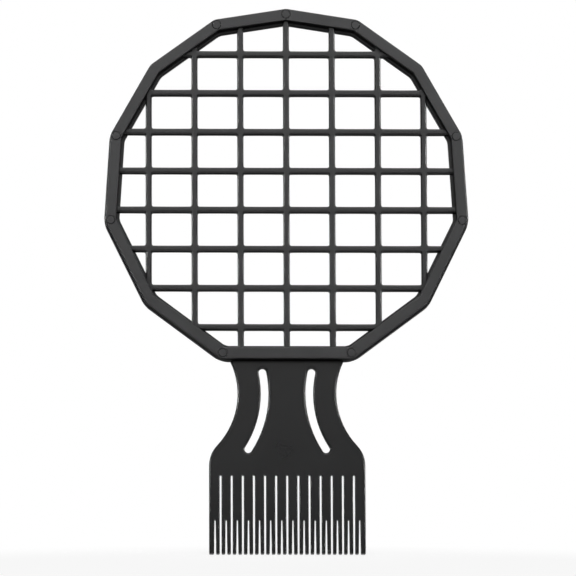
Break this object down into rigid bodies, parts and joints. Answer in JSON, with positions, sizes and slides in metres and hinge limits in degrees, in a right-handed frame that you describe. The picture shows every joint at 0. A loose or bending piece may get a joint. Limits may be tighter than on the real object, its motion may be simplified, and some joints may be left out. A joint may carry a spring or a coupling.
{
  "type": "hair twist comb with pick handle",
  "caption": "Racket-shaped hair twist comb: a many-sided ring holds a coarse square mesh, and its flat waisted handle ends in a row of fine pick teeth.",
  "frame": {"origin": "under the middle of the comb, at the tips of the teeth, on the ring's parting plane", "axes": "+X to the comb's right seen from the front, +Y through it to the back, +Z from the teeth up to the ring"},
  "size_m": [0.1786, 0.009, 0.2717],
  "materials": {
    "frame_plastic": "smooth black ABS",
    "ring_plastic": "satin black ABS",
    "mesh_coating": "satin black coating",
    "mesh_wire": "drawn wire",
    "pin_plastic": "satin black ABS"
  },
  "bodies": {
    "root": {"rear_frame": "frame_plastic", "front_ring": "ring_plastic", "mesh_skin": "mesh_coating", "mesh_upright_wire_1": "mesh_wire", "mesh_upright_wire_2": "mesh_wire", "mesh_upright_wire_3": "mesh_wire", "mesh_upright_wire_4": "mesh_wire", "mesh_upright_wire_5": "mesh_wire", "mesh_upright_wire_6": "mesh_wire", "mesh_upright_wire_7": "mesh_wire", "mesh_cross_wire_1": "mesh_wire", "mesh_cross_wire_2": "mesh_wire", "mesh_cross_wire_3": "mesh_wire", "mesh_cross_wire_4": "mesh_wire", "mesh_cross_wire_5": "mesh_wire", "mesh_cross_wire_6": "mesh_wire", "mesh_cross_wire_7": "mesh_wire", "mesh_cross_wire_8": "mesh_wire", "ring_pin_crown": "pin_plastic", "ring_pin_brow_left": "pin_plastic", "ring_pin_brow_right": "pin_plastic", "ring_pin_ear_left": "pin_plastic", "ring_pin_ear_right": "pin_plastic", "ring_pin_cheek_left": "pin_plastic", "ring_pin_cheek_right": "pin_plastic", "ring_pin_chin_left": "pin_plastic", "ring_pin_chin_right": "pin_plastic"}
  },
  "joints": []
}
